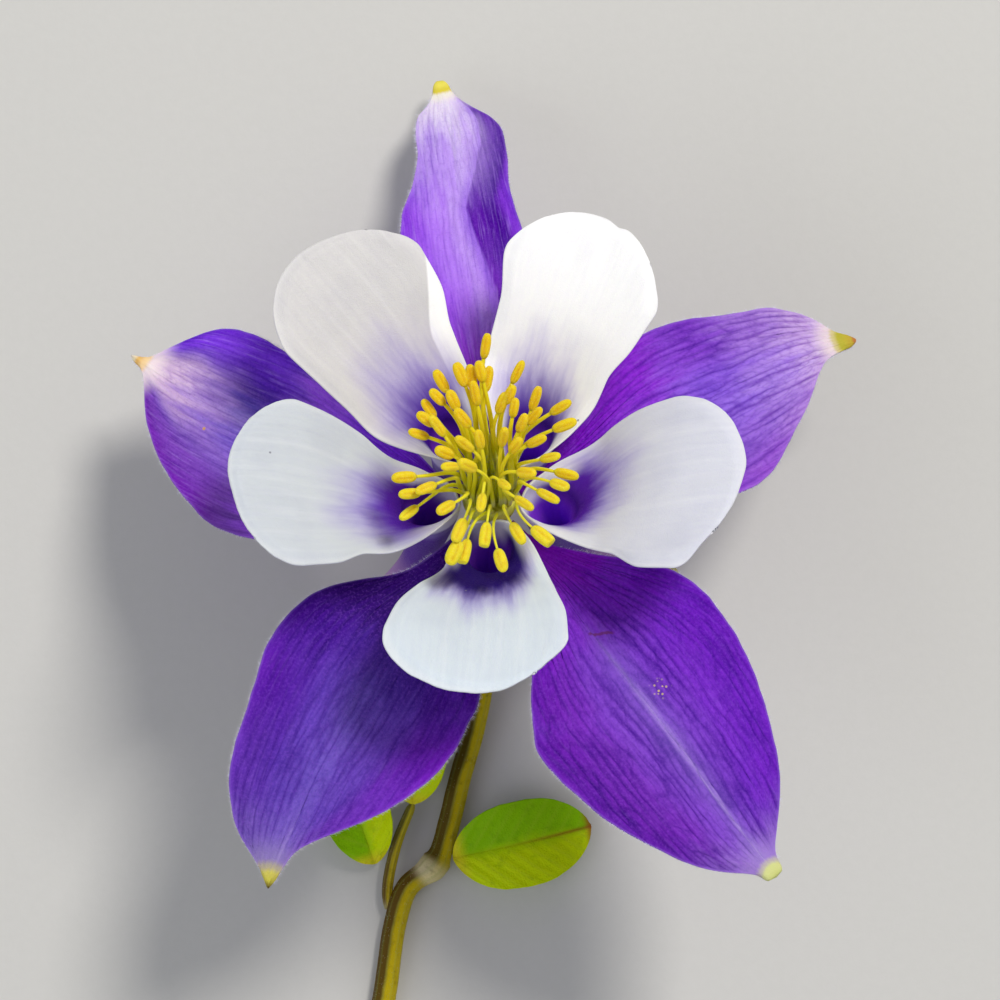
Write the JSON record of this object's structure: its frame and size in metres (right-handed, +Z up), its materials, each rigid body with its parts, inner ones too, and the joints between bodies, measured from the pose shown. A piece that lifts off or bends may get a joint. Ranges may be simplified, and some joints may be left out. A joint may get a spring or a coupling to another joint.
{
  "type": "columbine plant",
  "caption": "Cut columbine stem lying on its side with one open violet and white flower facing up, long hollow spurs behind it and a small leafy bract on the stem.",
  "frame": {"origin": "on the surface that the cut flower lies on, under the middle of its bounding box", "axes": "+Y from the stem's cut end towards the top of the flower's face, +Z up, the way the open face looks, +X to the right of the face as seen from above"},
  "size_m": [0.0754, 0.14, 0.0505],
  "materials": {
    "sepal": "satin",
    "petal": "satin",
    "stamen": "matte",
    "pistil": "satin",
    "stem": "satin",
    "leaf": "satin"
  },
  "bodies": {
    "root": {"carpel_1": "pistil", "carpel_2": "pistil", "carpel_3": "pistil", "carpel_4": "pistil", "carpel_5": "pistil", "leaflet_left": "leaf", "leaflet_middle": "leaf", "leaflet_right": "leaf", "leaflet_stalk": "stem", "petal_bottom": "petal", "petal_left": "petal", "petal_right": "petal", "petal_upper_left": "petal", "petal_upper_right": "petal", "receptacle": "pistil", "sepal_left": "sepal", "sepal_lower_left": "sepal", "sepal_lower_right": "sepal", "sepal_right": "sepal", "sepal_top": "sepal", "stamen_01": "stamen", "stamen_02": "stamen", "stamen_03": "stamen", "stamen_04": "stamen", "stamen_05": "stamen", "stamen_06": "stamen", "stamen_07": "stamen", "stamen_08": "stamen", "stamen_09": "stamen", "stamen_10": "stamen", "stamen_11": "stamen", "stamen_12": "stamen", "stamen_13": "stamen", "stamen_14": "stamen", "stamen_15": "stamen", "stamen_16": "stamen", "stamen_17": "stamen", "stamen_18": "stamen", "stamen_19": "stamen", "stamen_20": "stamen", "stamen_21": "stamen", "stamen_22": "stamen", "stamen_23": "stamen", "stamen_24": "stamen", "stamen_25": "stamen", "stamen_26": "stamen", "stamen_27": "stamen", "stamen_28": "stamen", "stamen_29": "stamen", "stamen_30": "stamen", "stamen_31": "stamen", "stamen_32": "stamen", "stamen_33": "stamen", "stamen_34": "stamen", "stamen_35": "stamen", "stamen_36": "stamen", "stamen_37": "stamen", "stamen_38": "stamen", "stem": "stem"}
  },
  "joints": []
}
